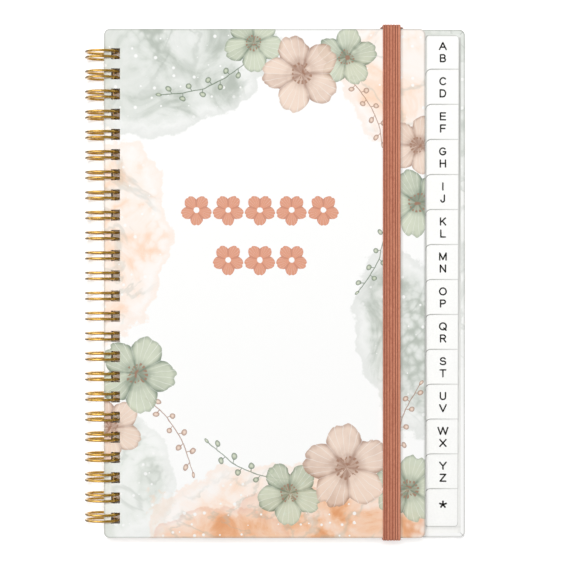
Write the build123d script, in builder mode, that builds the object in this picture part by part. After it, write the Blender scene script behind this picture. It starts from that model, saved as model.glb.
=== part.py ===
"""Wire-bound address book with stepped index tabs and an elastic closure.

The book lies closed on its back: X runs from the spine to the fore-edge, Y from tail to head and
Z from the back cover to the front. The origin is under the middle of the book, at the lowest
point of the wire loops. Lengths are in millimetres.
"""

import os
from math import asin, cos, degrees, floor, radians, sin

from build123d import *

os.makedirs("parts", exist_ok=True)

# Covers: a grey board, a printed paper wrapped round its edges and a lining pasted inside
cover_width = 152.0
cover_height = 213.5
back_square = 0.6
cover_corner = 2.4
wrap_t = 0.15
board_t = 1.3
lining_t = 0.1
lining_margin = 1.8
lining_corner = 0.8
turn_in = 14.0

# Book block: a card divider for each pair of letters, with its loose ruled sheets below it
letters = ["ab", "cd", "ef", "gh", "ij", "kl", "mn", "op", "qr", "st", "uv", "wx", "yz", "star"]
divider_t = 0.18
sheet_t = 0.1
sheets_per_letter = 2
leaf_gap = 0.01
head_square = 2.5
tail_square = 4.0
spine_square = 0.5

# Index tabs: cut in one with their dividers, each running under the one above it
tab_reach = 14.0
tab_margin = 3.0
tab_lap = 1.5
tab_corner = 1.6
tab_inner_corner = 0.4
tab_root = 1.6
first_tab_short = 0.4
last_tab_extra = 1.25
front_setback = 0.3

# Twin-loop wire: three loops to the inch, two wires to a loop
wire_d = 1.1
loop_pitch = 25.4 / 3
loop_width = 2.5
loop_end_margin = 8.5
loop_row_drop = 1.0
ring_room = 3.5
spine_setback = 1.075
base_bend = 1.25
base_clear = 0.3
tip_run = 0.6
hole_clear = 0.35
hole_side_clear = 0.5

# Elastic band: over the front cover, round both edges and into two slots in the back cover
band_width = 7.4
band_t = 0.9
band_inset = 10.25
band_gap = 0.2
band_edge_gap = 0.4
band_bend = 1.1
band_tail = 8.0
tail_gap = 0.05
slot_inset = 13.0
slot_bend = 0.7
slot_clear = 0.4

# Thickness of the stack, which the loops close round
cover_t = wrap_t + board_t + wrap_t + lining_t
letter_t = divider_t + leaf_gap + sheets_per_letter * (sheet_t + leaf_gap)
stack_t = 2 * cover_t + leaf_gap + len(letters) * letter_t
ring_r = (stack_t + ring_room + wire_d) / 2
ring_od = 2 * ring_r + wire_d

# Places along X and Z
axis_x = (ring_od / 2 - spine_setback - cover_width) / 2
axis_z = ring_od / 2
spine_x = axis_x + spine_setback
back_edge_x = spine_x + cover_width
page_x = spine_x + spine_square
page_edge_x = back_edge_x - tab_margin - tab_reach
front_width = page_edge_x - front_setback - spine_x
stack_bottom = axis_z - stack_t / 2
stack_top = axis_z + stack_t / 2
leaves_top = stack_top - cover_t - leaf_gap

# Places along Y
back_height = cover_height + 2 * back_square
page_top = cover_height / 2 - head_square
page_bottom = tail_square - cover_height / 2
page_height = page_top - page_bottom
tab_pitch = (page_height + first_tab_short - last_tab_extra) / len(letters)
loop_count = floor((cover_height - 2 * loop_end_margin) / loop_pitch) + 1
first_loop_y = (loop_count - 1) * loop_pitch / 2 - loop_row_drop

# The wire slants through the outer faces of the stack and stands upright at its middle
face_slant = asin(stack_t / 2 / ring_r)
hole_in = ring_r * cos(face_slant) - wire_d / 2 / cos(face_slant) - hole_clear
hole_out = ring_r + wire_d / 2 + hole_clear
hole_width = hole_out - hole_in
hole_height = loop_width + wire_d + 2 * hole_side_clear
base_angle = -degrees(asin((stack_t / 2 + wire_d / 2 + base_clear) / ring_r))

# The band's place on the covers, and the slots that take its ends
band_x = spine_x + front_width - band_inset - band_width / 2
slot_y = cover_height / 2 - slot_inset
slot_width = band_width + 2 * slot_clear
slot_height = band_t + 2 * slot_clear
tail_depth = band_t + 2 * tail_gap


def punch_row():
    """Cut the row of binding holes out of the sketch in progress."""
    with Locations((axis_x + (hole_in + hole_out) / 2, -loop_row_drop)):
        with GridLocations(loop_pitch, loop_pitch, 1, loop_count):
            Rectangle(hole_width, hole_height, mode=Mode.SUBTRACT)


def punch_slots():
    """Cut the two slots for the band's ends out of the sketch in progress."""
    with Locations((band_x, slot_y), (band_x, -slot_y)):
        Rectangle(slot_width, slot_height, mode=Mode.SUBTRACT)


def cover_outline(width, height, inset, corner, mode=Mode.ADD):
    """Draw a cover's outline with round corners, drawn in all round by an inset."""
    with Locations((spine_x + width / 2, 0)):
        RectangleRounded(width - 2 * inset, height - 2 * inset, corner, mode=mode)


def page_outline():
    """Draw a leaf of the book block, without its tab."""
    with Locations((page_edge_x, page_bottom)):
        Rectangle(page_edge_x - page_x, page_height, align=(Align.MAX, Align.MIN))


def make_wrap(width, height, outer_z, inward, slotted):
    """Printed paper over the outer face and the four edges, turned in round the inner face."""
    with BuildPart() as wrap:
        with BuildSketch(Plane.XY.offset(outer_z)):
            cover_outline(width, height, 0, cover_corner)
            punch_row()
            if slotted:
                punch_slots()
        extrude(amount=inward * wrap_t)
        with BuildSketch(Plane.XY.offset(outer_z + inward * wrap_t)):
            cover_outline(width, height, 0, cover_corner)
            cover_outline(width, height, wrap_t, cover_corner - wrap_t, mode=Mode.SUBTRACT)
        extrude(amount=inward * board_t)
        with BuildSketch(Plane.XY.offset(outer_z + inward * (wrap_t + board_t))):
            cover_outline(width, height, 0, cover_corner)
            with Locations((spine_x + width / 2, 0)):
                Rectangle(width - 2 * turn_in, height - 2 * turn_in, mode=Mode.SUBTRACT)
            punch_row()
        extrude(amount=inward * wrap_t)
    return wrap.part


def make_board(width, height, outer_z, inward, slotted):
    """Punched grey board; the back one has the slots and hollows that take the band's ends."""
    with BuildPart() as board:
        with BuildSketch(Plane.XY.offset(outer_z + inward * wrap_t)):
            cover_outline(width, height, wrap_t, cover_corner - wrap_t)
            punch_row()
            if slotted:
                punch_slots()
        extrude(amount=inward * board_t)
        if slotted:
            hollow_from = slot_y + slot_height / 2
            hollow_to = slot_y - slot_bend - band_tail - slot_clear
            with BuildSketch(Plane.XY.offset(outer_z + inward * (wrap_t + board_t))):
                for side in (1, -1):
                    with Locations((band_x, side * (hollow_from + hollow_to) / 2)):
                        Rectangle(slot_width, hollow_from - hollow_to)
            extrude(amount=-inward * tail_depth, mode=Mode.SUBTRACT)
    return board.part


def make_lining(width, height, outer_z, inward):
    """Paper pasted on the board inside the turn-ins, and over most of the turn-ins."""
    with BuildPart() as lining:
        with BuildSketch(Plane.XY.offset(outer_z + inward * (wrap_t + board_t))):
            with Locations((spine_x + width / 2, 0)):
                Rectangle(width - 2 * turn_in, height - 2 * turn_in)
        extrude(amount=inward * wrap_t)
        with BuildSketch(Plane.XY.offset(outer_z + inward * (cover_t - lining_t))):
            cover_outline(width, height, lining_margin, lining_corner)
            punch_row()
        extrude(amount=inward * lining_t)
    return lining.part


def make_divider(index):
    """Card leaf with its own index tab, rounded at the tab's corners and filleted at its roots."""
    is_first = index == 0
    is_last = index == len(letters) - 1
    tabs_from = page_top + first_tab_short
    tab_top = page_top if is_first else tabs_from - index * tab_pitch + tab_lap
    tab_bottom = page_bottom if is_last else tabs_from - (index + 1) * tab_pitch
    with BuildPart() as divider:
        with BuildSketch(Plane.XY.offset(leaves_top - index * letter_t)) as outline:
            page_outline()
            with Locations((page_edge_x, tab_bottom)):
                Rectangle(tab_reach, tab_top - tab_bottom, align=Align.MIN)
            at_root = outline.vertices().filter_by_position(
                Axis.X, page_edge_x - tab_root, page_edge_x + tab_root
            )
            fillet(at_root.filter_by_position(Axis.Y, page_bottom, page_top, (False, False)), tab_root)
            lower_corner = outline.vertices().group_by(Axis.X)[-1].sort_by(Axis.Y)[0]
            fillet(lower_corner, tab_corner if is_last else tab_inner_corner)
            upper_corner = outline.vertices().group_by(Axis.X)[-1].sort_by(Axis.Y)[-1]
            fillet(upper_corner, tab_corner if is_first else tab_inner_corner)
            punch_row()
        extrude(amount=-divider_t)
    return divider.part


def make_sheets(index):
    """The ruled sheets below a divider, as separate leaves of paper."""
    first_z = leaves_top - index * letter_t - divider_t - leaf_gap
    with BuildPart() as sheets:
        for number in range(sheets_per_letter):
            with BuildSketch(Plane.XY.offset(first_z - number * (sheet_t + leaf_gap))):
                page_outline()
                punch_row()
            extrude(amount=-sheet_t)
    return sheets.part


def loop_point(angle, y):
    """Point of the wire's centreline on a loop, at an angle up from the page side of the ring."""
    across = ring_r * cos(radians(angle))
    up = ring_r * sin(radians(angle))
    return Vector(axis_x + across, y, axis_z + up)


def loop_leg(y, start, end):
    """Draw one wire of a loop round the ring axis, as arcs of less than a quarter turn."""
    arcs = 4
    step = (end - start) / arcs
    for number in range(arcs):
        angle = start + number * step
        ThreePointArc(loop_point(angle, y), loop_point(angle + step / 2, y), loop_point(angle + step, y))


def base_turn(leg_end, toward):
    """Points on the quarter turn from a leg's end to the base bar, which runs toward head or tail."""
    onward = Vector(sin(radians(base_angle)), 0, -cos(radians(base_angle)))
    aside = Vector(0, toward, 0)
    middle = radians(45)
    halfway = onward * sin(middle) + aside * (1 - cos(middle))
    return leg_end, leg_end + halfway * base_bend, leg_end + (onward + aside) * base_bend


def least_gap(edges, spacing):
    """Least clear gap of the wire to itself, on points along its centreline."""
    points = []
    along = []
    travelled = 0.0
    for edge in edges:
        count = max(2, round(edge.length / spacing))
        points += [edge @ (number / count) for number in range(count)]
        along += [travelled + edge.length * number / count for number in range(count)]
        travelled += edge.length
    bend = 4 * wire_d
    return min(
        (points[i] - points[j]).length
        for i in range(len(points))
        for j in range(i)
        if along[i] - along[j] > bend
    ) - wire_d


def save(part, name):
    """Label a finished piece and write its STEP file."""
    part.label = name
    export_step(part, f"parts/{name}.step")


# Front cover
save(make_wrap(front_width, cover_height, stack_top, -1, False), "front_wrap")
save(make_board(front_width, cover_height, stack_top, -1, False), "front_board")
save(make_lining(front_width, cover_height, stack_top, -1), "front_lining")

# Back cover, wider than the front by the reach of the tabs and a little taller
save(make_wrap(cover_width, back_height, stack_bottom, 1, True), "back_wrap")
save(make_board(cover_width, back_height, stack_bottom, 1, True), "back_board")
save(make_lining(cover_width, back_height, stack_bottom, 1), "back_lining")

# Book block, from the front to the back
for index, letter in enumerate(letters):
    save(make_divider(index), f"divider_{letter}")
    save(make_sheets(index), f"sheets_{letter}")

# Wire binding: every loop goes up through the holes, over the spine and back under the ring,
# where its round tip faces the base bars that join it to the loops beside it
with BuildPart() as wire_binding:
    with BuildLine() as centreline:
        for number in range(loop_count):
            loop_y = first_loop_y - number * loop_pitch
            head_y = loop_y + loop_width / 2
            tail_y = loop_y - loop_width / 2
            run = Vector(tip_run, 0, 0)
            tip = run + Vector(loop_width / 2, 0, 0)
            loop_leg(head_y, base_angle, 270)
            Line(loop_point(270, head_y), loop_point(270, head_y) + run)
            ThreePointArc(
                loop_point(270, head_y) + run, loop_point(270, loop_y) + tip, loop_point(270, tail_y) + run
            )
            Line(loop_point(270, tail_y) + run, loop_point(270, tail_y))
            loop_leg(tail_y, 270, base_angle)
            if number < loop_count - 1:
                leaving = base_turn(loop_point(base_angle, tail_y), -1)
                arriving = base_turn(loop_point(base_angle, head_y - loop_pitch), 1)
                ThreePointArc(*leaving)
                Line(leaving[-1], arriving[-1])
                ThreePointArc(*reversed(arriving))
    wire_path = centreline.wires()[0]
    with BuildSketch(Plane(origin=wire_path @ 0, z_dir=wire_path % 0)):
        Circle(wire_d / 2)
    sweep(path=wire_path)
save(wire_binding.part, "wire_binding")
two_loops = 2 * len(wire_path.edges()) // loop_count
print(f"wire: least gap to itself {least_gap(wire_path.edges()[:two_loops], wire_d / 4):.2f} mm")

# Elastic band: a flat strap whose ends turn in through the slots and lie in the board's hollows
with BuildPart() as elastic_band:
    with BuildSketch(Plane.YZ.offset(band_x - band_width / 2)) as strap:
        with BuildLine():
            front_z = stack_top + band_gap + band_t / 2
            back_z = stack_bottom - band_gap - band_t / 2
            tail_z = stack_bottom + wrap_t + board_t - tail_gap - band_t / 2
            outer_y = back_height / 2 + band_edge_gap + band_t / 2
            tail_y = slot_y - slot_bend - band_tail
            FilletPolyline(
                (tail_y, tail_z),
                (slot_y, tail_z),
                (slot_y, back_z),
                (outer_y, back_z),
                (outer_y, front_z),
                (-outer_y, front_z),
                (-outer_y, back_z),
                (-slot_y, back_z),
                (-slot_y, tail_z),
                (-tail_y, tail_z),
                radius=2 * [slot_bend] + 4 * [band_bend] + 2 * [slot_bend],
            )
        trace(line_width=band_t)
    extrude(amount=band_width)
save(elastic_band.part, "elastic_band")
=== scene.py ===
import math

import bpy
import numpy as np
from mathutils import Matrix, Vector


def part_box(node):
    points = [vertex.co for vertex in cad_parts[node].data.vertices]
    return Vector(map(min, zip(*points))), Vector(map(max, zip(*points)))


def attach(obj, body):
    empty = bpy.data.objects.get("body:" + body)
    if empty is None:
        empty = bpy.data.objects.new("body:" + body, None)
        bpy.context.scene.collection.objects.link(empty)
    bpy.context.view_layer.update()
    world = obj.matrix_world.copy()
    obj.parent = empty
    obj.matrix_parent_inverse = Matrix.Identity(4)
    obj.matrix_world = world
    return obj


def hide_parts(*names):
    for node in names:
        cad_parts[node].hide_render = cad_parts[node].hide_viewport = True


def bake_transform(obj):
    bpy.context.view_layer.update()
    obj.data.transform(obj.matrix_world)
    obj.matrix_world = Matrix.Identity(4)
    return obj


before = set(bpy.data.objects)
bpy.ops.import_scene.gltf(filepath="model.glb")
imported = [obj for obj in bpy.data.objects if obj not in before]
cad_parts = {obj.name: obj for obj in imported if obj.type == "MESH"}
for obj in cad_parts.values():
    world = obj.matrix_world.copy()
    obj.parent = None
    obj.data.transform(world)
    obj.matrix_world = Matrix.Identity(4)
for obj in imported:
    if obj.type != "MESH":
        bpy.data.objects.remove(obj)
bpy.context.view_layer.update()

MM = 0.001


def node_box(name):
    """Lowest and highest corner of a node of the frame, in millimetres."""
    return [np.round(np.array(corner) / MM, 3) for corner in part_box(name)]


letters = ["ab", "cd", "ef", "gh", "ij", "kl", "mn", "op", "qr", "st", "uv", "wx", "yz", "star"]

# Covers. The frame gives the sizes of covers and leaves; all lengths here are in millimetres.
(spine_x, _, _), (front_edge_x, front_top, stack_top) = node_box("front_wrap")
(_, _, stack_bottom), (back_edge_x, back_top, _) = node_box("back_wrap")
cover_corner = 2.4

# Leaves, and the tabs that step down their fore-edge.
page_edge_x = node_box("sheets_ab")[1][0]
(_, page_bottom, divider_under), (tab_edge_x, page_top, leaves_top) = node_box("divider_ab")
divider_t = leaves_top - divider_under
letter_t = leaves_top - node_box("divider_cd")[1][2]
tab_reach = tab_edge_x - page_edge_x
# The last is the radius of the painted shadow line round each tab's root.
tabs_from, tab_pitch, shadow_root = 104.65, 14.725, 2.6

# Twin-loop wire about its axis along Y.
axis_x, axis_z, ring_r, wire_d = -72.825, 7.425, 6.875, 1.1
loop_count, loop_pitch = 24, 25.4 / 3
loop_width, loop_row_drop = 2.5, 1.0
base_bend, base_clear, tip_run = 1.25, 0.3, 0.6
first_loop_y = (loop_count - 1) * loop_pitch / 2 - loop_row_drop
base_angle = -math.asin(((stack_top - stack_bottom) / 2 + wire_d / 2 + base_clear) / ring_r)

# Elastic: its run over the front, its turns round head and foot, and its tails in the back cover.
band_x, band_width, band_t = 48.85, 7.4, 0.9
band_front_z, band_back_z, band_tail_z = 12.65, 2.2, 3.8
band_outer_y, slot_y, band_tail_y = 108.2, 93.75, 85.05
band_bend, slot_bend = 1.1, 0.7
foot_front_y, foot_back_y, foot_bend = 107.35, 107.90, 0.75
# Its flare where it stands against the head: height of its middle, reach up and down, added share of the
# width, shift to the fore-edge, and share of the thickness that its edges lose.
flare_z, flare_depth, flare_wide, flare_lean, flare_thin = 3.2, 0.6, 0.34, 0.5, 0.55
# Widths of its cords across the strap, as shares of its width, and how light the yarn of each is.
cord_shares = np.array([0.107, 0.112, 0.169, 0.168, 0.169, 0.112, 0.163])
cord_tones = [0.45, 0.40, 0.45, 0.50, 0.45, 0.85, 0.75]


class Level:
    """A value that changes over a surface. Arithmetic on it adds Math nodes to its finish."""

    def __init__(self, finish, socket):
        self.finish, self.socket = finish, socket

    def other(self, name):
        """Another output of the same node."""
        return Level(self.finish, self.socket.node.outputs[name])

    def __add__(self, more):
        return self.finish.math("ADD", self, more)

    def __sub__(self, less):
        return self.finish.math("SUBTRACT", self, less)

    def __rsub__(self, whole):
        return self.finish.math("SUBTRACT", whole, self)

    def __mul__(self, times):
        return self.finish.math("MULTIPLY", self, times)

    def __truediv__(self, share):
        return self.finish.math("DIVIDE", self, share)

    def __rtruediv__(self, whole):
        return self.finish.math("DIVIDE", whole, self)

    def __pow__(self, power):
        return self.finish.math("POWER", self, power)

    def __abs__(self):
        return self.finish.math("ABSOLUTE", self)

    __radd__ = __add__
    __rmul__ = __mul__


class Finish:
    """A material built from nodes, one method for every kind of node. The world is built the same way."""

    def __init__(self, name, world=None):
        self.owner = bpy.data.materials.new(name) if world is None else world
        self.owner.use_nodes = True
        self.tree = self.owner.node_tree
        self.tree.nodes.clear()

    def node(self, kind, settings=None, sockets=None, out=0):
        """Adds a node: its settings first, then a value or a link for each named socket."""
        made = self.tree.nodes.new(kind)
        for name, value in (settings or {}).items():
            if name == "stops":
                for stop, (place, colour) in zip(self.ramp_stops(made, len(value)), value):
                    stop.position, stop.color = place, colour
            else:
                setattr(made, name, value)
        for name, value in (sockets or {}).items():
            if isinstance(value, Level):
                self.tree.links.new(value.socket, made.inputs[name])
            else:
                made.inputs[name].default_value = value
        return Level(self, made.outputs[out]) if len(made.outputs) else made

    @staticmethod
    def ramp_stops(made, count):
        """The stops of a colour ramp, made up to count of them."""
        while len(made.color_ramp.elements) < count:
            made.color_ramp.elements.new(1.0)
        return made.color_ramp.elements

    def math(self, operation, *values):
        """An operation on values or numbers."""
        return self.node("ShaderNodeMath", {"operation": operation}, dict(enumerate(values)))

    def vector(self, operation, *values, out=0):
        """An operation on vectors, each part by itself."""
        return self.node("ShaderNodeVectorMath", {"operation": operation}, dict(enumerate(values)), out)

    def scaled(self, vector, amount):
        """A vector times a number."""
        return self.node("ShaderNodeVectorMath", {"operation": "SCALE"}, {0: vector, "Scale": amount})

    def length(self, vector):
        """How long a vector is."""
        return self.vector("LENGTH", vector, out="Value")

    def split(self, vector):
        """The three parts of a vector."""
        x = self.node("ShaderNodeSeparateXYZ", {}, {0: vector})
        return x, x.other("Y"), x.other("Z")

    def join(self, x, y):
        """A flat vector from its two parts."""
        return self.node("ShaderNodeCombineXYZ", {}, {"X": x, "Y": y})

    def mix(self, share, first, second):
        """The first colour where share is 0, the second where it is 1."""
        return self.node("ShaderNodeMix", {"data_type": "RGBA"}, {0: share, 6: first, 7: second}, 2)

    def mix_place(self, share, first, second):
        """The first place where share is 0, the second where it is 1."""
        return self.node("ShaderNodeMix", {"data_type": "VECTOR"}, {0: share, 4: first, 5: second}, 1)

    def ease(self, value, low, high):
        """0 at low and 1 at high, with a smooth step between; low may be the larger."""
        sockets = {"Value": value, "From Min": low, "From Max": high}
        return self.node("ShaderNodeMapRange", {"interpolation_type": "SMOOTHSTEP"}, sockets)

    def noise(self, place, scale, detail=3.0, roughness=0.5, distortion=0.0, out=0):
        """Soft noise about 0.5, its scale in waves to the millimetre."""
        sockets = {"Vector": place, "Scale": scale, "Detail": detail, "Roughness": roughness}
        return self.node("ShaderNodeTexNoise", {}, sockets | {"Distortion": distortion}, out)

    def cells(self, place, scale):
        """Cells round scattered points of a flat place."""
        return self.node("ShaderNodeTexVoronoi", {"voronoi_dimensions": "2D"},
                         {"Vector": place, "Scale": scale})

    def place(self, flat=False):
        """Object coordinates in millimetres; flat leaves out the height."""
        at = self.node("ShaderNodeTexCoord", out="Object")
        return self.vector("MULTIPLY", at, (1000.0, 1000.0, 0.0 if flat else 1000.0))

    def facing(self):
        """How far the surface faces along X, Y and Z, in the piece's own frame."""
        return self.split(self.node("ShaderNodeTexCoord", out="Normal"))

    def turned(self, place, centre, size, turn=0.0):
        """Place as seen from centre, turned, with size as its unit."""
        sockets = {"Vector": place, "Location": (*centre, 0.0), "Scale": (*size, 1.0),
                   "Rotation": (0.0, 0.0, math.radians(turn))}
        return self.node("ShaderNodeMapping", {"vector_type": "TEXTURE"}, sockets)

    def wavered(self, place, scale, amount):
        """Place moved about by soft noise, as an unsteady hand does."""
        drift = self.vector("SUBTRACT", self.noise(place, scale, out="Color"), (0.5, 0.5, 0.5))
        return self.vector("ADD", place, self.scaled(drift, amount))

    def bump(self, height, depth_mm, strength):
        """The normal of a surface that height raises by up to depth_mm."""
        sockets = {"Height": height, "Distance": depth_mm * MM, "Strength": strength}
        return self.node("ShaderNodeBump", {}, sockets)

    def done(self, **sockets):
        """Ends the finish with one shader; names with _ for spaces are its sockets."""
        named = {name.replace("_", " "): value for name, value in sockets.items()}
        shader = self.node("ShaderNodeBsdfPrincipled", {}, named)
        self.node("ShaderNodeOutputMaterial", {}, {"Surface": shader})
        return self.owner


def ink(red, green, blue):
    """A screen colour, 0 to 255, as linear light."""
    part = (np.array([red, green, blue]) / 255.0 + 0.055) / 1.055
    return (*(part ** 2.4).tolist(), 1.0)


# Colours of the print.
paper_white = ink(250, 250, 249)
sage_pale, sage_deep = ink(206, 213, 190), ink(98, 118, 94)
blush_pale, blush_deep = ink(238, 214, 196), ink(160, 120, 98)
peach_pale, peach, peach_deep = ink(251, 232, 218), ink(246, 206, 174), ink(235, 172, 120)
amber, amber_deep = ink(238, 182, 136), ink(216, 138, 84)
mist_pale, mist, mist_deep = ink(228, 232, 226), ink(205, 211, 203), ink(170, 178, 168)
salmon, salmon_deep = ink(219, 150, 120), ink(190, 112, 84)


def wash(paint, colour, place, grain, cloud, centre, size, turn, pale, deep, strength):
    """A watercolour wash: an ellipse about centre whose edge is roughened by grain. Colour is thin where
    cloud is low, pools along the edge, and gathers to the deep tone where cloud is high. Gives the colour
    and the share that is wet."""
    out = paint.length(paint.turned(place, centre, size, turn)) + (grain - 0.5) * 0.9
    body = paint.ease(out, 1.0, 0.62)
    edge = paint.ease(out, 1.0, 0.95) * paint.ease(out, 0.80, 0.95)
    thick = paint.ease(cloud, 0.30, 0.66)
    colour = paint.mix(body * (thick * 0.55 + 0.40) * strength, colour, pale)
    gathered = paint.ease(cloud, 0.50, 0.70) * body * 0.75 + edge * 0.30
    return paint.mix(gathered * strength, colour, deep), body


def picked(paint, place, rows, slim=1.0):
    """Place, pale tone and deep tone of the flower or spray that covers a point. Each lies in a unit circle
    of its own, or in an ellipse that is slim times as narrow. What none covers is far from all."""
    own, pale, deep = (9.0, 9.0, 0.0), paper_white, paper_white
    for centre, size, turn, pale_tone, deep_tone in rows:
        here = paint.turned(place, centre, (size, size), turn)
        reach = paint.length(paint.vector("MULTIPLY", here, (1.0, slim, 1.0)))
        inside = paint.math("LESS_THAN", reach, 1.04)
        own = paint.mix_place(inside, own, here)
        pale = paint.mix(inside, pale, pale_tone)
        deep = paint.mix(inside, deep, deep_tone)
    return own, pale, deep


# A petal's ellipse in units of the flower's reach: its middle, half length, half width and notch.
petal_middle, petal_long, petal_wide, petal_notch = 0.53, 0.47, 0.405, 0.055


def petals(paint, own):
    """Five round petals about the middle: the turn is folded in five, and each fold holds an ellipse set
    off from the middle with a small notch at its tip. Gives the cover, the rim, the crease, the veins, the
    number of the petal and the reach from the middle."""
    x, y, _ = paint.split(own)
    reach = paint.length(own)
    fifths = paint.math("ARCTAN2", y, x) * (5 / math.tau) + 10.0
    number = paint.math("FLOOR", fifths)
    fold = fifths - number - 0.5
    slant = fold * (math.tau / 5)
    side = reach * paint.math("SINE", slant)
    out = reach * paint.math("COSINE", slant) + paint.ease(abs(side), 0.13, 0.0) * petal_notch
    spread = ((out - petal_middle) / petal_long) ** 2.0 + (side / petal_wide) ** 2.0
    cover = paint.ease(spread, 1.0, 0.93)
    rim = paint.ease(spread, 0.55, 1.0)
    crease = paint.ease(abs(fold), 0.34, 0.5)
    stripe = abs(paint.math("FRACT", fold * 6.0 + 0.5) - 0.5)
    vein = paint.ease(stripe, 0.06, 0.0) * paint.ease(out, 0.25, 0.5)
    return cover, rim, crease, vein, number, reach


def blossoms(paint, colour, place, grain, rows):
    """Painted flowers laid over the colour below, thin inside and darker along rims and creases, each
    with a ring of stamens about a dark heart."""
    own, pale, deep = picked(paint, place, rows)
    cover, rim, crease, vein, number, reach = petals(paint, own)
    tone = paint.node("ShaderNodeTexWhiteNoise", {"noise_dimensions": "1D"}, {"W": number + 0.5})
    throat = paint.ease(reach, 0.55, 0.10)
    depth = rim * 0.30 + crease * 0.28 + throat * 0.45 + tone * 0.22 + (grain - 0.5) * 0.9
    shade = paint.mix(paint.ease(depth, -0.05, 0.80), pale, deep)
    shade = paint.mix(vein * 0.55, shade, paper_white)
    colour = paint.mix(cover * 0.90, colour, shade)
    x, y, _ = paint.split(own)
    turn = paint.math("FRACT", paint.math("ARCTAN2", y, x) * (15 / math.tau) + 20.0)
    ray = paint.ease(abs(turn - 0.5), 0.16, 0.05) * paint.ease(reach, 0.24, 0.20)
    knob = paint.ease(abs(turn - 0.5) * 0.42, 0.15, 0.08) * paint.ease(abs(reach - 0.25), 0.040, 0.022)
    heart = paint.math("MAXIMUM", paint.math("MAXIMUM", ray * 0.55, knob), paint.ease(reach, 0.12, 0.09))
    return paint.mix(heart * 0.85, colour, blush_deep)


def berry_sprays(paint, colour, place, rows):
    """Bowed stems with a berry on alternate sides at every tenth but the first and last, and a bud at the
    tip: stem height is a half wave along it."""
    tenths, bow_rise, bow_foot, berry_off, stem_end, slim = 10, 0.22, 0.12, 0.115, 0.92, 2.5
    own, pale, deep = picked(paint, place, rows, slim)
    x, y, _ = paint.split(own)
    along = (x + 1.0) * (tenths / 2)
    number = paint.math("FLOOR", along)
    bow = paint.math("SINE", along * (math.pi / tenths)) * bow_rise - bow_foot
    side = paint.math("MODULO", number + 20.0, 2.0) * 2.0 - 1.0
    beyond = y - bow
    across = (along - number - 0.5) / (tenths / 2)
    ball = paint.length(paint.join(across, beyond - side * berry_off))
    bearing = paint.math("LESS_THAN", abs(number - 4.5), 4.0)
    stem = paint.ease(abs(beyond), 0.014, 0.006) * paint.ease(abs(x), stem_end, 0.88)
    twig = paint.ease(abs(across - abs(beyond) * 0.35 + 0.04), 0.012, 0.005) * bearing
    twig = twig * paint.ease(beyond * side, 0.0, 0.01) * paint.ease(beyond * side, berry_off, 0.105)
    colour = paint.mix(paint.math("MAXIMUM", stem, twig) * 0.8, colour, deep)
    bud = paint.length(paint.join((x - stem_end) * 0.6, beyond)) * 1.7
    berry = paint.math("MINIMUM", ball + (1.0 - bearing), bud)
    shade = paint.mix(paint.ease(berry, 0.01, 0.06), pale, deep)
    return paint.mix(paint.ease(berry, 0.064, 0.054) * 0.88, colour, shade)


# Small blossoms in two rows: middle of a row, step along it, reach and turn of each; place of each row.
small_x, small_step, small_size, small_turn = -6.4, 13.3, 6.7, 18.0
upper_row_y, lower_row_y = 30.8, 9.9


def small_blossoms(paint, colour, place):
    """Two rows of small salmon blossoms, five above three: the way along a row is counted in steps, and
    each whole step has a blossom."""
    x, y, _ = paint.split(place)
    upper = paint.math("GREATER_THAN", y, (upper_row_y + lower_row_y) / 2)
    step = (x - small_x) / small_step
    number = paint.math("ROUND", step)
    above = y - upper * (upper_row_y - lower_row_y) - lower_row_y
    own = paint.scaled(paint.join((step - number) * small_step, above), 1 / small_size)
    own = paint.turned(own, (0.0, 0.0), (1.0, 1.0), small_turn)
    cover, rim, crease, vein, _, reach = petals(paint, own)
    listed = paint.math("LESS_THAN", abs(number), upper + 1.5)
    shade = paint.mix(rim * 0.25 + crease * 0.65, salmon, salmon_deep)
    left_white = paint.math("MAXIMUM", vein * 0.5, paint.ease(reach, 0.20, 0.16))
    shade = paint.mix(left_white, shade, paper_white)
    return paint.mix(cover * listed * 0.96, colour, shade)


def edge_shade(paint, place, edge_x, half_height):
    """1 at a cover's edge and 0 from 0.9 mm in: the share of painted shade where the paper turns over the
    board.
    The distance from the edge is the corner's radius less the distance from the outline that is drawn in by
    that radius."""
    centre = ((spine_x + edge_x) / 2, 0.0, 0.0)
    inner = ((edge_x - spine_x) / 2 - cover_corner, half_height - cover_corner, 0.0)
    off = paint.vector("ABSOLUTE", paint.vector("SUBTRACT", place, centre))
    beyond = paint.vector("SUBTRACT", off, inner)
    depth = cover_corner - paint.length(paint.vector("MAXIMUM", beyond, (0.0, 0.0, 0.0)))
    return paint.ease(depth, 0.9, 0.1)


def strap_shadow(paint, place, start):
    """Painted shadow lines along the elastic's two edges, wider and stronger towards the fore-edge. They
    run from start to the head and to the foot."""
    x, y, _ = paint.split(place)
    beyond = x - (band_x + band_width / 2)
    before = (band_x - band_width / 2) - x
    fore = paint.ease(beyond, -0.5, 0.0) * paint.ease(beyond, 1.5, 0.4)
    spine = paint.ease(before, -0.5, 0.0) * paint.ease(before, 0.9, 0.0)
    return (fore * 0.35 + spine * 0.10) * paint.ease(abs(y), start - 0.5, start)


def mitre_fold_shade(paint, place, edge_x, half_height, inward):
    """Painted shade along the fold where the paper's two turn-ins meet inside a corner: a line at equal
    distances from both edges, on the face that looks inward: up where that is 1, down where it is -1."""
    x, y, _ = paint.split(place)
    _, _, up = paint.facing()
    aside = (edge_x - spine_x) / 2 - abs(x - (edge_x + spine_x) / 2)
    endways = half_height - abs(y)
    fold = paint.ease(abs(aside - endways), 0.40, 0.10) * paint.ease(aside + endways, 8.0, 5.0)
    return fold * paint.ease(up * inward, 0.4, 0.6)


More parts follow.
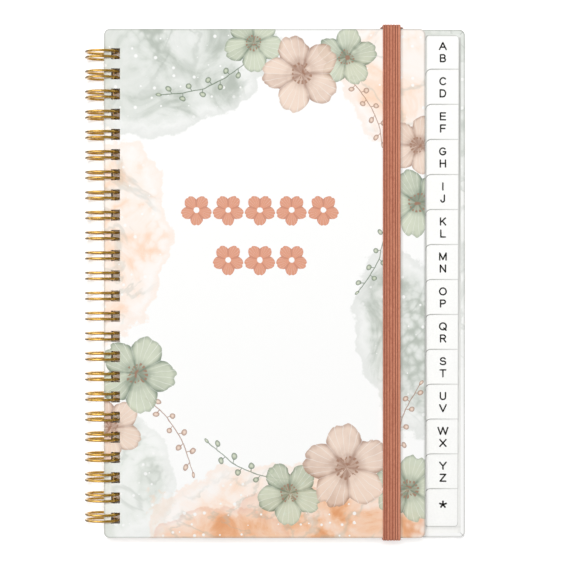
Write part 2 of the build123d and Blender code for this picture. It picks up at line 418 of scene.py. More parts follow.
def damp_paper(paint, place):
    """How watercolour takes to the paper: places moved by an unsteady hand, the grain of the edges and the
    clouds of colour."""
    hand = paint.wavered(place, 0.16, 1.6)
    grain = paint.noise(place, 0.055, 6.0, 0.6)
    cloud = paint.noise(place, 0.038, 7.0, 0.58, 1.3)
    bubble = paint.cells(hand, 0.30) - 0.42
    cloud = cloud + bubble * paint.ease(paint.noise(place, 0.022, 2.0), 0.48, 0.66) * 0.30
    return hand, grain, cloud


def printed_cover(name, edge_x, half_height, inward, strap_from, washes, under, over, sprays, in_rows):
    """Matt laminated paper with a watercolour print: washes, flecks left white, sprays and blossoms. The
    paper has a grey painted shade where it turns over the board's edge, along the folds in the inside
    corners and beside the elastic."""
    paint = Finish(name)
    place = paint.place(flat=True)
    hand, grain, cloud = damp_paper(paint, place)
    colour, wet = paper_white, 0.0
    for row in washes:
        colour, body = wash(paint, colour, place, grain, cloud, *row)
        wet = paint.math("MAXIMUM", body, wet)
    marble = abs(paint.noise(place, 0.016, 4.0, 0.5, 2.6) - 0.5)
    colour = paint.mix(paint.ease(marble, 0.035, 0.0) * wet * 0.32, colour, mist_deep)
    fleck = paint.cells(place, 0.24)
    size, keep, _ = paint.split(fleck.other("Color"))
    dot = paint.ease(fleck.other("Distance"), size * 0.20 + 0.03, size * 0.12 + 0.01)
    colour = paint.mix(dot * paint.math("GREATER_THAN", keep, 0.62) * wet * 0.85, colour, paper_white)
    colour = berry_sprays(paint, colour, hand, sprays)
    colour = blossoms(paint, colour, hand, grain, under)
    colour = blossoms(paint, colour, hand, grain, over)
    if in_rows:
        colour = small_blossoms(paint, colour, paint.wavered(place, 0.35, 0.7))
    tooth = paint.noise(paint.place(), 3.0, 4.0, 0.6)
    # Grey painted shade: where the paper turns over the board's edge, beside the elastic and along the
    # folds in the inside corners.
    turned = edge_shade(paint, place, edge_x, half_height)
    wear_and_shade = turned * (tooth * 0.5 + 0.25) + strap_shadow(paint, place, strap_from)
    wear_and_shade = wear_and_shade + mitre_fold_shade(paint, place, edge_x, half_height, inward) * 0.45
    colour = paint.mix(wear_and_shade, colour, ink(146, 148, 142))
    sheen = paint.noise(paint.place(), 0.05, 3.0) * 0.10 + 0.46
    return paint.done(Base_Color=colour, Roughness=sheen, Normal=paint.bump(tooth, 0.012, 0.5),
                      Specular_IOR_Level=0.22)


# Rows of the prints. Washes: middle, half sizes, turn, pale and deep tone, strength. Flowers and sprays:
# middle, reach, turn, pale and deep tone.
front_print = printed_cover(
    "printed_cover_front", front_edge_x, front_top, inward=-1, strap_from=0.0,
    washes=[
        ((-46.0, 92.0), (46.0, 30.0), 12.0, mist, mist_deep, 0.95),
        ((58.0, -26.0), (24.0, 42.0), 14.0, mist, mist_deep, 0.90),
        ((-66.0, -84.0), (26.0, 30.0), 0.0, mist_pale, mist, 0.95),
        ((-68.0, 18.0), (24.0, 44.0), -6.0, peach_pale, peach, 0.95),
        ((54.0, 88.0), (28.0, 28.0), 20.0, peach_pale, peach, 0.95),
        ((10.0, -98.0), (70.0, 24.0), 4.0, peach_pale, peach, 1.0),
        ((24.0, -102.0), (44.0, 17.0), -6.0, amber, amber_deep, 0.95),
        ((-24.0, -108.0), (30.0, 15.0), 6.0, amber, amber_deep, 0.85),
    ],
    under=[
        ((-9.0, 101.0), 13.0, 20.0, sage_pale, sage_deep),
        ((30.0, 95.0), 13.0, 48.0, sage_pale, sage_deep),
        ((-69.0, -61.0), 14.0, 10.0, blush_pale, blush_deep),
        ((60.0, 58.0), 13.0, 36.0, blush_pale, blush_deep),
        ((6.0, -88.0), 14.0, 15.0, sage_pale, sage_deep),
        ((56.0, -86.0), 15.0, 40.0, sage_pale, sage_deep),
    ],
    over=[
        ((11.0, 88.0), 17.0, 0.0, blush_pale, blush_deep),
        ((-58.0, -38.0), 17.0, 30.0, sage_pale, sage_deep),
        ((60.0, 34.0), 15.0, 8.0, sage_pale, sage_deep),
        ((30.0, -77.0), 19.0, 60.0, blush_pale, blush_deep),
    ],
    sprays=[
        ((-30.0, 84.0), 21.0, 200.0, sage_pale, sage_deep),
        ((38.0, 74.0), 19.0, -60.0, blush_pale, blush_deep),
        ((-43.0, -63.0), 21.0, -58.0, blush_pale, blush_deep),
        ((42.0, 12.0), 19.0, -110.0, sage_pale, sage_deep),
        ((-12.0, -76.0), 21.0, 155.0, sage_pale, sage_deep),
        ((55.0, -58.0), 19.0, 75.0, blush_pale, blush_deep),
    ],
    in_rows=True,
)
head_wash = ((66.0, 106.0), (46.0, 12.0), -4.0, mist, mist_deep, 1.0)
back_print = printed_cover(
    "printed_cover_back", back_edge_x, back_top, inward=1, strap_from=slot_y,
    washes=[
        head_wash,
        ((-50.0, 60.0), (36.0, 50.0), 10.0, peach_pale, peach, 0.95),
        # These two washes beside the tabs are pale print and also the tabs' painted shade on this strip,
        # deeper towards the head.
        ((79.0, 40.0), (9.0, 90.0), 0.0, mist_pale, mist, 0.25),
        ((79.0, 84.0), (6.0, 44.0), 0.0, mist, mist_deep, 0.50),
        ((66.0, -58.0), (12.0, 40.0), 0.0, mist_pale, mist, 0.50),
        ((-10.0, -98.0), (66.0, 24.0), 4.0, peach, peach_deep, 0.85),
    ],
    under=[
        ((-46.0, 84.0), 14.0, 20.0, sage_pale, sage_deep),
        ((-30.0, -92.0), 14.0, 48.0, sage_pale, sage_deep),
    ],
    over=[
        ((-60.0, 64.0), 18.0, 0.0, blush_pale, blush_deep),
        ((-8.0, -80.0), 18.0, 60.0, blush_pale, blush_deep),
    ],
    sprays=[
        ((-34.0, 60.0), 21.0, -60.0, sage_pale, sage_deep),
        ((20.0, -70.0), 21.0, 35.0, blush_pale, blush_deep),
    ],
    in_rows=False,
)


def shown_lining(paint, colour, place):
    """The rim of the lining that shows round the tabs: grey painted shade of the tabs at the fore-edge, the
    deeper the nearer to the head, and a little painted shade below the foot of the leaves. Above them the
    cover's print runs on over it."""
    x, y, _ = paint.split(place)
    # Painted shade of the tabs on the lining's rim, deeper towards the head, and a little below the foot of
    # the leaves.
    tab_shade_depth = paint.ease(y, -90.0, 90.0) * 0.40 + 0.12
    side = paint.ease(x, tab_edge_x - 0.4, tab_edge_x + 0.2) * tab_shade_depth
    foot = paint.ease(y, page_bottom - 1.8, page_bottom) * paint.ease(y, page_bottom + 1.0, page_bottom)
    colour = paint.mix(paint.math("MAXIMUM", side, foot * 0.22), colour, ink(150, 152, 145))
    flat = paint.vector("MULTIPLY", place, (1.0, 1.0, 0.0))
    _, grain, cloud = damp_paper(paint, flat)
    printed, _ = wash(paint, paper_white, flat, grain, cloud, *head_wash)
    return paint.mix(paint.ease(y, page_top - 0.3, page_top), colour, printed)


def plain_paper(name, tone, shade, roughness, fibre_scale, tooth_mm, shown=None):
    """Uncoated paper: pale fibres in a fine cloud of two tones, with a felt-marked surface. Where it shows
    when the book is shut, shown changes its colour."""
    paint = Finish(name)
    place = paint.place()
    fibre = paint.noise(paint.vector("MULTIPLY", place, (1.0, 0.35, 1.0)), fibre_scale, 5.0, 0.65)
    cloud = paint.noise(place, 0.06, 4.0)
    colour = paint.mix(paint.ease(fibre * 0.6 + cloud * 0.4, 0.36, 0.66), shade, tone)
    if shown is not None:
        colour = shown(paint, colour, place)
    return paint.done(Base_Color=colour, Roughness=fibre * 0.15 + roughness,
                      Normal=paint.bump(fibre, tooth_mm, 0.6), Specular_IOR_Level=0.30)


def flat_share(paint):
    """1 on the two faces of a leaf and 0 on its cut edges."""
    _, _, up = paint.facing()
    return paint.ease(abs(up), 0.4, 0.6)


# Ruling of the leaves: step of the rules, the field that they fill, the heading above and the margin.
rule_step, rules_head, rules_foot = 8.0, 84.0, -93.0
rules_from_x, rules_to_x = -62.0, 58.2
heading_y, margin_x = 90.0, -58.0


def leaf_colour(paint, place, fibre, dark, pale):
    """Paper in two tones by its fibre, ruled in even steps below a heading line, with a margin beside the
    holes. The cut edges of the leaves are streaked along the leaf instead."""
    x, y, _ = paint.split(place)
    colour = paint.mix(paint.ease(fibre, 0.30, 0.70), dark, pale)
    below = paint.ease(y, rules_head + 0.5, rules_head)
    row = abs(paint.math("FRACT", y / rule_step + 50.0) - 0.5) * rule_step
    ruled = paint.ease(row, 0.20, 0.10) * below * paint.ease(y, rules_foot - 0.5, rules_foot)
    heading = paint.ease(abs(y - heading_y), 0.45, 0.35)
    margin = paint.ease(abs(x - margin_x), 0.20, 0.10)
    field = paint.ease(x, rules_from_x, rules_from_x + 0.2) * paint.ease(x, rules_to_x, rules_to_x - 0.2)
    flat = flat_share(paint)
    colour = paint.mix(ruled * field * flat * 0.75, colour, ink(176, 190, 174))
    colour = paint.mix(heading * field * flat, colour, salmon)
    colour = paint.mix(margin * below * flat * 0.5, colour, ink(224, 178, 156))
    streak = paint.noise(paint.vector("MULTIPLY", place, (0.06, 0.06, 9.0)), 1.0, 3.0, 0.7)
    edge = paint.mix(paint.ease(streak, 0.36, 0.62), ink(205, 202, 194), ink(246, 244, 238))
    return paint.mix(flat, edge, colour)


def ruled_paper():
    """Uncoated writing paper."""
    paint = Finish("ruled_writing_paper")
    place = paint.place()
    fibre = paint.noise(place, 1.6, 5.0, 0.65)
    colour = leaf_colour(paint, place, fibre, ink(244, 243, 238), ink(251, 250, 247))
    return paint.done(Base_Color=colour, Roughness=fibre * 0.12 + 0.62,
                      Normal=paint.bump(fibre, 0.01, 0.5), Specular_IOR_Level=0.25)


def divider_card():
    """White index card, ruled like the sheets, with a fine grey painted shadow line along the lower edge of
    each tab and round its root. That line goes by the distance from the edge: that from the root's centre,
    less its radius, with the part of the way across counted only beside the root. A painted shadow line
    with round corners also closes the head of the first tab and the foot of the last, a fainter one follows
    the outer edge of all, and another runs down the tabs' root beside the front cover. The tabs have a
    clear film over them."""
    paint = Finish("index_card")
    place = paint.place()
    x, y, _ = paint.split(place)
    film = paint.ease(x, page_edge_x - 0.6, page_edge_x + 0.2)
    fibre = paint.noise(place, 1.3, 5.0, 0.65)
    colour = leaf_colour(paint, place, fibre, ink(249, 249, 247), ink(253, 253, 251))
    # Grey painted shadow lines along the tabs' edges and roots.
    beside = paint.math("MINIMUM", x - (page_edge_x + shadow_root), 0.0)
    above = paint.math("FRACT", (y - tabs_from + shadow_root) / tab_pitch + 20.0) * tab_pitch
    inside = paint.length(paint.join(beside, above)) - shadow_root
    tab_shadow_line = paint.ease(inside, 0.50, 0.15) * paint.math("GREATER_THAN", inside, -0.02)
    tab_shadow_line = tab_shadow_line * paint.math("GREATER_THAN", y, tabs_from - (len(letters) - 0.5) * tab_pitch)
    tab_shadow_line = tab_shadow_line * (paint.ease(x, tab_edge_x, page_edge_x) * 0.45 + 0.35)
    corner, half = 1.4, tab_reach / 2
    sideways = paint.math("MAXIMUM", abs(x - (page_edge_x + half)) - (half - corner), 0.0)
    middle, reach = (page_top + page_bottom) / 2, (page_top - page_bottom) / 2
    endways = paint.math("MAXIMUM", abs(y - middle) - (reach - corner), 0.0)
    margin = corner - paint.length(paint.join(sideways, endways))
    outline = paint.ease(margin, 0.45, 0.10) * paint.ease(margin, -0.5, -0.2)
    outer = paint.ease(x, page_edge_x + half, page_edge_x + half + 0.1)
    closing = paint.ease(abs(y - middle), reach - 2 * corner, reach - corner)
    tab_shadow_line = paint.math("MAXIMUM", tab_shadow_line, outline * paint.math("MAXIMUM", closing * 0.55, outer * 0.36))
    tab_shadow_line = paint.math("MAXIMUM", tab_shadow_line, paint.ease(x, page_edge_x + 0.80, page_edge_x + 0.30) * 0.40)
    colour = paint.mix(tab_shadow_line * film, colour, ink(128, 130, 122))
    return paint.done(Base_Color=colour, Roughness=0.58 - film * 0.22 + fibre * 0.08,
                      Coat_Weight=film * 0.25, Coat_Roughness=0.18,
                      Normal=paint.bump(fibre, 0.010, 0.4), Specular_IOR_Level=0.35)


def gold_wire_finish():
    """Bright gold lacquer on steel wire, with drawn lines along it and small dull spots. The outermost side
    of the loops is a painted dark reflection without the lacquer's shine, and the side that faces the foot
    of the book has a little painted brown shade."""
    paint = Finish("gold_wire_finish")
    place = paint.place()
    drawn = paint.noise(paint.vector("MULTIPLY", place, (0.4, 6.0, 0.4)), 1.4, 3.0, 0.6)
    spots = paint.noise(place, 0.9, 4.0)
    colour = paint.mix(paint.ease(spots, 0.35, 0.65), ink(212, 158, 44), ink(236, 190, 76))
    outward, headward, _ = paint.facing()
    # Painted shade on the side that faces the foot, and a painted dark reflection on the outermost side of
    # the loops.
    colour = paint.mix(paint.ease(headward, -0.30, -0.80) * 0.5, colour, ink(122, 82, 32))
    dark_reflection = paint.ease(outward, -0.60, -0.74) * 0.93
    colour = paint.mix(dark_reflection, colour, ink(58, 34, 10))
    return paint.done(Base_Color=colour, Metallic=0.68, Roughness=drawn * 0.08 + spots * 0.06 + 0.08,
                      Normal=paint.bump(drawn, 0.008, 0.2), Coat_Weight=0.6 - dark_reflection * 0.6,
                      Coat_Roughness=0.06, Coat_IOR=1.9)


def ribbed_elastic():
    """Knitted elastic: cords side by side along the strap, each a row of slanted stitches, dark between.
    Across the strap the UV map counts the cords; along it, it gives metres."""
    paint = Finish("ribbed_elastic")
    count, stitch_length = len(cord_tones), 0.58
    cords, along, _ = paint.split(paint.node("ShaderNodeUVMap", {"uv_map": "UVMap"}))
    number = paint.math("FLOOR", cords)
    middle = abs(paint.math("FRACT", cords) - 0.5) * 2.0
    stops = [((part + 0.5) / count, (tone, tone, tone, 1.0)) for part, tone in enumerate(cord_tones)]
    tone = paint.node("ShaderNodeValToRGB", {"stops": stops}, {0: cords / count})
    stitches = along / (stitch_length * MM) + number * 0.5 + middle * 0.4
    stitch = paint.math("SINE", stitches * math.tau) * 0.5 + 0.5
    wear_and_shade = paint.noise(paint.join(cords * 0.9, along * 60.0), 1.0, 5.0, 0.65)
    broken = paint.noise(paint.join(cords * 1.1, along * 640.0), 1.0, 3.0, 0.6)
    fuzz = paint.noise(paint.place(), 3.5, 3.0, 0.7)
    light = stitch * 0.14 + wear_and_shade * 0.50 + fuzz * 0.60 + broken * 0.55 + tone * 0.50
    light = light - middle * middle * 0.18 - 0.54
    colour = paint.mix(paint.ease(light, 0.16, 0.96), ink(164, 93, 71), ink(216, 146, 118))
    shown = paint.ease(abs(cords - count / 2 + 0.2), 0.6, 2.4) * 0.55 + 0.45
    groove = paint.ease(middle, 0.46, 0.94) * (wear_and_shade * 0.3 + broken * 0.5 + 0.46) * shown
    groove = groove * paint.ease(abs(cords - count / 2), 3.40, 3.05)
    colour = paint.mix(groove, colour, ink(98, 43, 29))
    return paint.done(Base_Color=colour, Roughness=0.74 - stitch * 0.12,
                      Normal=paint.bump(stitch * 0.55 + fuzz * 0.45, 0.10, 0.7),
                      Sheen_Weight=0.2, Sheen_Roughness=0.4, Specular_IOR_Level=0.25)


def index_ink():
    """Black printing ink, a little thin in places."""
    paint = Finish("index_ink")
    thin = paint.noise(paint.place(), 2.2, 4.0)
    colour = paint.mix(paint.ease(thin, 0.35, 0.75), ink(18, 15, 11), ink(40, 36, 30))
    return paint.done(Base_Color=colour, Roughness=thin * 0.15 + 0.42, Specular_IOR_Level=0.3)


def studio_floor_finish():
    """A pale seamless floor, lit a little from within like a light table; under the book the glow is masked
    down to a dim brown, a painted shade that shows through the holes.
    """
    paint = Finish("studio_floor")
    place = paint.place()
    x, y, _ = paint.split(place)
    cloud = paint.noise(place, 0.01, 3.0)
    colour = paint.mix(cloud, ink(246, 246, 246), ink(250, 250, 250))
    middle, half = (spine_x + back_edge_x) / 2, (back_edge_x - spine_x) / 2
    # Under the book the glow is dimmed to a brown: painted shade that shows through the holes.
    under = paint.ease(abs(x - middle), half - 0.5, half - 2.0)
    under = under * paint.ease(abs(y), back_top - 0.5, back_top - 2.0)
    glow = paint.mix(under, (1.0, 1.0, 1.0, 1.0), (0.34, 0.25, 0.17, 1.0))
    return paint.done(Base_Color=colour, Roughness=cloud * 0.1 + 0.7, Specular_IOR_Level=0.1,
                      Emission_Color=glow, Emission_Strength=0.34)


# Finishes of the nodes that the frame shows itself.
board_finish = plain_paper("grey_board", ink(176, 172, 162), ink(150, 146, 136), 0.72, 0.9, 0.04)
lining_finish = plain_paper("lining_paper", ink(252, 252, 250), ink(247, 247, 244), 0.60, 1.1, 0.015,
                            shown_lining)
endpaper_finish = plain_paper("blush_endpaper", ink(247, 236, 228), ink(240, 224, 213), 0.60, 1.1, 0.015)
card_finish, page_finish = divider_card(), ruled_paper()


def dress(name, material):
    """Gives a node of the frame one finish all over."""
    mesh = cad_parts[name].data
    mesh.materials.clear()
    mesh.materials.append(material)


dress("front_wrap", front_print)
dress("back_wrap", back_print)
for side, paper in (("front", endpaper_finish), ("back", lining_finish)):
    dress(side + "_board", board_finish)
    dress(side + "_lining", paper)
for letter in letters:
    dress("divider_" + letter, card_finish)
    dress("sheets_" + letter, page_finish)


def piece(name, points, faces, material, uv=None, smooth=True):
    """A mesh at the origin from whole arrays of points in millimetres and of faces."""
    mesh = bpy.data.meshes.new(name)
    mesh.from_pydata((np.asarray(points) * MM).tolist(), [], faces)
    mesh.polygons.foreach_set("use_smooth", np.full(len(mesh.polygons), smooth))
    if uv is not None:
        corner = np.empty(len(mesh.loops), np.int32)
        mesh.loops.foreach_get("vertex_index", corner)
        layer = mesh.uv_layers.new(name="UVMap")
        layer.data.foreach_set("uv", np.asarray(uv)[corner].astype(np.float32).ravel())
    mesh.validate()
    mesh.materials.append(material)
    made = bpy.data.objects.new(name, mesh)
    bpy.context.scene.collection.objects.link(made)
    return made


def swept_faces(rings, sides):
    """Faces of a closed sweep: a quad from each ring to the next all round, and a cap at each end."""
    ring, side = np.meshgrid(np.arange(rings - 1), np.arange(sides), indexing="ij")
    here, after = ring * sides + side, ring * sides + (side + 1) % sides
    quads = np.stack([here, after, after + sides, here + sides], axis=-1).reshape(-1, 4)
    first, last = np.arange(sides)[::-1], (rings - 1) * sides + np.arange(sides)
    return quads.tolist() + [first.tolist(), last.tolist()]


def along_path(path):
    """Unit direction at each point: the sum of the unit steps before and after it."""
    step = np.diff(path, axis=0)
    step /= np.linalg.norm(step, axis=1, keepdims=True)
    ahead = np.vstack([step, step[-1:]]) + np.vstack([step[:1], step])
    return ahead / np.linalg.norm(ahead, axis=1, keepdims=True)


def wire_line():
    """Centreline of the twin-loop wire. Each loop is two arcs about the ring's axis, from the base through
    the holes and over to the lowest point, joined there by a short run and a half circle. At the base a
    quarter turn, a straight bar and a quarter turn lead to the next loop. Also gives the angle that the
    section's first direction points in, about the axis."""
    lowest, side = math.radians(270), loop_width / 2
    up = np.linspace(base_angle, lowest, num=47)
    half = np.linspace(math.pi / 2, -math.pi / 2, num=13)
    turn = np.linspace(0, math.pi / 2, num=7)[1:]
    low = np.full_like(half, lowest)
    still = np.full_like(turn, base_angle)
    base = np.array([axis_x + ring_r * math.cos(base_angle), axis_z + ring_r * math.sin(base_angle)])
    onward = np.array([math.sin(base_angle), -math.cos(base_angle)])
    leave = base + base_bend * np.sin(turn)[:, None] * onward
    arrive = base + base_bend * np.cos(turn)[:, None] * onward
    leg = np.stack([axis_x + ring_r * np.cos(up), np.full_like(up, side), axis_z + ring_r * np.sin(up)], 1)
    tip = np.stack([axis_x + tip_run + side * np.cos(half), side * np.sin(half),
                    np.full_like(half, axis_z - ring_r)], 1)
    off = np.stack([leave[:, 0], -side - base_bend * (1 - np.cos(turn)), leave[:, 1]], 1)
    next_y = side + base_bend - loop_pitch - base_bend * np.sin(turn)
    on = np.stack([arrive[:, 0], next_y, arrive[:, 1]], 1)
    back = leg[::-1] * (1, -1, 1)
    bar_middle = off[-1] + (on[0] - off[-1]) * 0.5
    one = np.vstack([leg, tip, back, off, bar_middle[None], on[:-1]])
    angle = np.concatenate([up, low, up[::-1], still, [base_angle], still[:-1]])
    drop = np.arange(loop_count)[:, None, None] * (0, loop_pitch, 0)
    every = (one[None] + (0, first_loop_y, 0) - drop).reshape(-1, 3)
    angles = np.tile(angle, loop_count)
    end = len(every) - len(off) - len(on)
    return every[:end], angles[:end]


def wire_piece():
    """A round section carried along the wire's centreline, capped at both ends."""
    path, angle = wire_line()
    along = along_path(path)
    first = np.stack([np.cos(angle), np.zeros_like(angle), np.sin(angle)], 1)
    second = np.cross(along, first)
    second /= np.linalg.norm(second, axis=1, keepdims=True)
    first = np.cross(second, along)
    sides = 14
    turn = np.linspace(0, math.tau, sides, endpoint=False)[:, None]
    section = np.cos(turn) * first[:, None] + np.sin(turn) * second[:, None]
    points = (path[:, None] + wire_d / 2 * section).reshape(-1, 3)
    return piece("gold_twin_loop_wire", points, swept_faces(len(path), sides), gold_wire_finish())


def rounded_path(corners, radii, spacing):
    """A flat path through corners with each corner turned by an arc of its radius, in steps of about
    spacing."""
    bend_steps, end_steps = 8, 5
    corners = np.asarray(corners, float)
    lines = [corners[:1]]
    for number, radius in enumerate(radii, start=1):
        to, away = corners[number - 1] - corners[number], corners[number + 1] - corners[number]
        to, away = to / np.linalg.norm(to), away / np.linalg.norm(away)
        half = math.acos(np.clip(to @ away, -1, 1)) / 2
        middle = corners[number] + (to + away) / np.linalg.norm(to + away) * radius / math.sin(half)
        start = corners[number] + to * radius / math.tan(half)
        part = np.linspace(0, math.pi - 2 * half, bend_steps + 1)[:, None]
        bend = middle + (start - middle) * np.cos(part) - to * radius * np.sin(part)
        run = np.linalg.norm(start - lines[-1][-1])
        count = max(2, int(round(run / spacing)))
        share = np.linspace(0, 1, count + 1)[1:-1, None]
        lines += [lines[-1][-1] + (start - lines[-1][-1]) * share, bend]
    share = np.linspace(0, 1, end_steps + 1)[1:, None]
    lines.append(lines[-1][-1] + (corners[-1] - lines[-1][-1]) * share)
    return np.vstack(lines)


def band_piece():
    """The elastic strap: a section of round cords side by side, carried from its end in the back cover out
    through the slot, round both edges over the front cover and back in. Each cord's height is half an
    ellipse across its own width. The strap is a little wider where it stands against the head edge, and
    lies close to the covers at the foot."""
    corners = [(band_tail_y, band_tail_z), (slot_y, band_tail_z), (slot_y, band_back_z),
               (band_outer_y, band_back_z), (band_outer_y, band_front_z),
               (-foot_front_y, band_front_z), (-foot_back_y, band_back_z),
               (-slot_y, band_back_z), (-slot_y, band_tail_z), (-band_tail_y, band_tail_z)]
    radii = 2 * [slot_bend] + 2 * [band_bend] + [foot_bend, band_bend] + 2 * [slot_bend]
    path = rounded_path(corners, radii, spacing=2.0)
    path = np.stack([np.full(len(path), band_x), path[:, 0], path[:, 1]], 1)
    along = along_path(path)
    across = np.array([1.0, 0.0, 0.0])
    out = np.cross(across, along)
    count, cord_steps, groove_share = len(cord_shares), 8, 0.56
    cord = np.linspace(0, count, count * cord_steps + 1)
    edges = np.concatenate([[0], np.cumsum(cord_shares)])
    part = np.interp(cord, np.arange(len(edges)), edges / edges[-1]) * 2 - 1
    crown = np.sqrt(np.clip(1 - (np.abs(cord % 1.0 - 0.5) * 2) ** 2, 0, 1))
    thick = groove_share + (1 - groove_share) * crown
    ring = np.concatenate([part, part[::-1]])
    height = np.concatenate([thick, -thick[::-1]]) * band_t / 2
    head = np.exp(-((path[:, 2] - flare_z) / flare_depth) ** 2) * (path[:, 1] > band_outer_y - 0.35)
    half = band_width / 2 * (1 + flare_wide * head)
    thin = 1 - flare_thin * head[:, None] * np.abs(ring[None]) ** 3
    sideways = half[:, None] * ring[None] + flare_lean * head[:, None]
    outwards = height[None] * thin
    points = path[:, None] + sideways[..., None] * across + outwards[..., None] * out[:, None]
    far = np.concatenate([[0], np.cumsum(np.linalg.norm(np.diff(path, axis=0), axis=1))]) * MM
    uv = np.stack(np.broadcast_arrays(np.concatenate([cord, cord[::-1]])[None], far[:, None]), -1)
    faces = swept_faces(len(path), len(ring))
    return piece("ribbed_elastic_band", points.reshape(-1, 3), faces, ribbed_elastic(), uv.reshape(-1, 2))


# Pieces that stand for the frame's wire and elastic.
wire = wire_piece()
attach(wire, "back_cover")
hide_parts("wire_binding")

band = band_piece()
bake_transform(band)
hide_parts("elastic_band")

# Letters of the tabs: sizes, middle of the first and drift from tab to tab, and rows below a tab's head.
cap_height, stroke, ink_t = 3.50, 0.62, 0.012
letter_wide, star_bold = 1.08, 1.2
letter_x, letter_drift = 70.45, 0.034
first_row, row_step, star_row = 4.90, 5.10, 6.60
ink_finish = index_ink()


def line(*points):
    """Straight strokes from point to point."""
    return [np.array(pair, float) for pair in zip(points[:-1], points[1:])]


def arc(x, y, wide, tall, start, end):
    """A stroke along an ellipse's arc about (x, y), angles in degrees."""
    turn = np.radians(np.linspace(start, end, num=21))
    return [np.stack([x + wide * np.cos(turn), y + tall * np.sin(turn)], 1)]


# Strokes of plain capitals, one unit tall on a base line at 0.
strokes = {
    "A": line((-0.45, 0), (0, 1), (0.45, 0)) + line((-0.30, 0.34), (0.30, 0.34)),
    "B": line((0.05, 0.53), (-0.32, 0.53), (-0.32, 1), (0.05, 1))
    + line((0.07, 0), (-0.32, 0), (-0.32, 0.53))
    + arc(0.05, 0.765, 0.24, 0.235, 90, -90) + arc(0.07, 0.265, 0.27, 0.265, 90, -90),
    "C": arc(0.03, 0.5, 0.42, 0.5, 42, 318),
    "D": line((-0.03, 1), (-0.36, 1), (-0.36, 0), (-0.03, 0)) + arc(-0.03, 0.5, 0.40, 0.5, 90, -90),
    "E": line((0.34, 1), (-0.32, 1), (-0.32, 0), (0.34, 0)) + line((-0.32, 0.53), (0.29, 0.53)),
    "F": line((0.34, 1), (-0.30, 1), (-0.30, 0)) + line((-0.30, 0.50), (0.26, 0.50)),
    "G": arc(-0.01, 0.5, 0.42, 0.5, 46, 330) + line((0.355, 0.25), (0.37, 0.45), (0.05, 0.45)),
    "H": line((-0.35, 0), (-0.35, 1)) + line((0.35, 0), (0.35, 1)) + line((-0.35, 0.53), (0.35, 0.53)),
    "I": line((0, 0), (0, 1)),
    "J": line((0.2, 1), (0.2, 0.28)) + arc(-0.03, 0.28, 0.23, 0.28, 0, -175),
    "K": line((-0.32, 0), (-0.32, 1)) + line((0.34, 1), (-0.32, 0.36)) + line((-0.09, 0.58), (0.37, 0)),
    "L": line((-0.28, 1), (-0.28, 0), (0.32, 0)),
    "M": line((-0.43, 0), (-0.43, 1), (0, 0.06), (0.43, 1), (0.43, 0)),
    "N": line((-0.35, 0), (-0.35, 1), (0.35, 0), (0.35, 1)),
    "O": arc(0, 0.5, 0.45, 0.5, 0, 360),
    "P": line((0.06, 1), (-0.32, 1), (-0.32, 0)) + line((-0.32, 0.47), (0.06, 0.47))
    + arc(0.06, 0.735, 0.27, 0.265, 90, -90),
    "Q": arc(0, 0.5, 0.45, 0.5, 0, 360) + line((0.12, 0.24), (0.43, -0.06)),
    "R": line((0.06, 1), (-0.32, 1), (-0.32, 0)) + line((-0.32, 0.48), (0.06, 0.48))
    + arc(0.06, 0.74, 0.27, 0.26, 90, -90) + line((0.04, 0.48), (0.37, 0)),
    "S": arc(0, 0.75, 0.32, 0.25, 20, 262) + arc(0, 0.26, 0.36, 0.26, 98, -160),
    "T": line((0, 0), (0, 1)) + line((-0.38, 1), (0.38, 1)),
    "U": line((-0.35, 1), (-0.35, 0.35)) + arc(0, 0.35, 0.35, 0.35, 180, 360)
    + line((0.35, 0.35), (0.35, 1)),
    "V": line((-0.44, 1), (0, 0), (0.44, 1)),
    "W": line((-0.66, 1), (-0.34, 0), (0, 1), (0.34, 0), (0.66, 1)),
    "X": line((-0.41, 1), (0.41, 0)) + line((0.41, 1), (-0.41, 0)),
    "Y": line((-0.43, 1), (0, 0.45), (0.43, 1)) + line((0, 0.45), (0, 0)),
    "Z": line((-0.36, 1), (0.36, 1), (-0.38, 0), (0.38, 0)),
    "*": sum((line((0, 0.5), (0.46 * math.cos(turn), 0.5 + 0.46 * math.sin(turn)))
              for turn in np.radians([90, 162, 234, 306, 18])), []),
}


def stroke_ribbon(points, width, low, thick):
    """A flat stroke: a thin oblong section carried along points, its width falling as a circle's past each
    end."""
    tip_steps, tip_share = 4, 0.97
    ahead = along_path(points)
    tip = np.sin(np.linspace(0, math.pi / 2, tip_steps + 1))[1:, None] * width / 2 * tip_share
    path = np.vstack([points[0] - ahead[0] * tip[::-1], points, points[-1] + ahead[-1] * tip])
    ahead = np.vstack([np.repeat(ahead[:1], tip_steps, 0), ahead, np.repeat(ahead[-1:], tip_steps, 0)])
    half = np.sqrt((width / 2) ** 2 - tip ** 2)
    half = np.vstack([half[::-1], np.full((len(points), 1), width / 2), half])
    aside = np.stack([-ahead[:, 1], ahead[:, 0]], 1) * half
    edges = [np.c_[path + way * aside, np.full(len(path), height)]
             for way, height in ((1, low), (1, low + thick), (-1, low + thick), (-1, low))]
    return np.stack(edges, 1).reshape(-1, 3), swept_faces(len(path), len(edges))


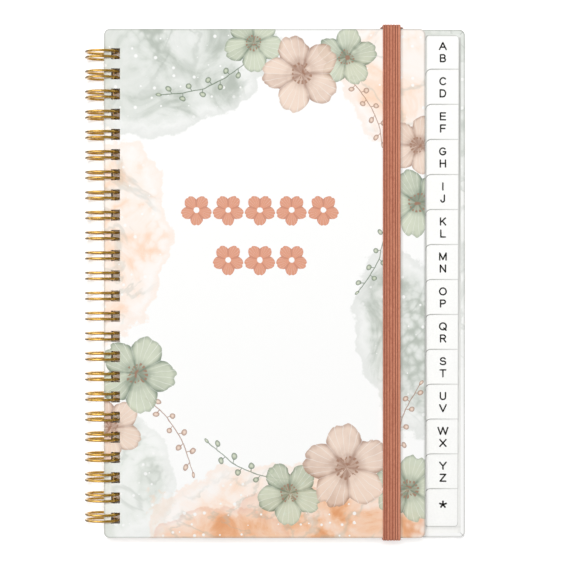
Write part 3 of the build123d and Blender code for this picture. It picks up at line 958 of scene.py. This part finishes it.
def index_letters(number, letter):
    """The letters of a tab one above the other, as a thin layer of ink on both faces of the tab. On the
    lower face they are the other way round, so that they read right when the leaf is turned."""
    top = tabs_from - number * tab_pitch
    surface = leaves_top - number * letter_t
    signs = "*" if letter == "star" else letter.upper()
    rows = [top - star_row] if letter == "star" else [top - first_row, top - first_row - row_step]
    points, faces, count = [], [], 0
    middle_x = letter_x + letter_drift * number
    for sign, row in zip(signs, rows):
        width = stroke * (star_bold if sign == "*" else 1.0)
        for path in strokes[sign]:
            for way, low in ((1, surface), (-1, surface - divider_t - ink_t)):
                size = (cap_height - stroke) * np.array([letter_wide * way, 1.0])
                place = (path - (0, 0.5)) * size + (middle_x, row)
                ribbon, ribbon_faces = stroke_ribbon(place, width, low, ink_t)
                points.append(ribbon)
                faces += [[corner + count for corner in face] for face in ribbon_faces]
                count += len(ribbon)
    return piece("index_letters_" + letter, np.vstack(points), faces, ink_finish, smooth=False)


for number, letter in enumerate(letters):
    printed = index_letters(number, letter)
    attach(printed, "leaves_" + letter)


def floor_sheet():
    """A wide flat floor just under the book, as a grid of squares."""
    reach, squares, gap = 3000.0, 8, 0.02
    across = squares + 1
    lines = np.linspace(-reach, reach, across)
    x, y = np.meshgrid(lines, lines, indexing="ij")
    points = np.stack([x, y, np.full_like(x, -gap)], -1).reshape(-1, 3)
    row, column = np.meshgrid(np.arange(squares), np.arange(squares), indexing="ij")
    here = (row * across + column).ravel()
    faces = np.stack([here, here + across, here + across + 1, here + 1], 1).tolist()
    return piece("studio_floor", points, faces, studio_floor_finish())


floor_sheet()


def softbox(name, place, size, power, mirrored):
    """A square area light, placed in metres, that faces the middle of the book. One that is mirrored shows
    only in glossy surfaces, as a white card would; the others light the rest."""
    book_middle = (0.0, 0.0, 0.01)
    lamp = bpy.data.lights.new(name, "AREA")
    lamp.shape, lamp.size, lamp.energy = "SQUARE", size, power
    made = bpy.data.objects.new(name, lamp)
    bpy.context.scene.collection.objects.link(made)
    made.location = place
    made.rotation_mode = "QUATERNION"
    made.rotation_quaternion = Vector(np.array(place) - book_middle).to_track_quat("Z", "Y")
    made.visible_glossy, made.visible_diffuse = mirrored, not mirrored


def studio_surround():
    """The pale room round the book: grey by height, lightest overhead, and shaded behind the fore-edge."""
    world = bpy.data.worlds.new("studio_surround")
    bpy.context.scene.world = world
    room = Finish("studio_surround", world)
    aside, behind, height = room.split(room.node("ShaderNodeTexCoord", out="Generated"))
    greys = [(0.0, 0.85), (0.44, 0.50), (0.52, 0.40), (0.64, 0.34), (0.80, 0.50), (0.92, 1.0)]
    stops = [(place, (grey, grey, grey, 1.0)) for place, grey in greys]
    light = room.node("ShaderNodeValToRGB", {"stops": stops}, {0: height * 0.5 + 0.5})
    shaded = room.ease(aside * 0.8 + behind * 0.6, 0.05, 0.40)
    light = room.mix(shaded * 0.75, light, (0.0, 0.0, 0.0, 1.0))
    shader = room.node("ShaderNodeBackground", {}, {"Color": light, "Strength": 0.48})
    room.node("ShaderNodeOutputWorld", {}, {"Surface": shader})


def overhead_camera():
    """A camera that looks straight down. Its lens takes in view_width at the front cover, which is
    eye_height below it."""
    eye_x, eye_y, eye_height, view_width, sensor = 5.401, -1.887, 870.0, 241.5, 36.0
    lens = bpy.data.cameras.new("camera")
    lens.sensor_width = sensor
    lens.lens = sensor * eye_height / view_width
    lens.clip_start, lens.clip_end = 0.01, 100.0
    eye = bpy.data.objects.new("camera", lens)
    bpy.context.scene.collection.objects.link(eye)
    eye.location = (eye_x * MM, eye_y * MM, (stack_top + eye_height) * MM)
    bpy.context.scene.camera = eye


softbox("key_softbox", (-0.05, 0.28, 1.05), 0.32, 5.6, mirrored=False)
softbox("top_softbox", (0.0, 0.0, 1.60), 0.70, 8.5, mirrored=False)
softbox("white_card", (-0.62, 0.20, 0.88), 1.30, 10.0, mirrored=True)
studio_surround()
overhead_camera()
bpy.context.scene.view_settings.view_transform = "Standard"
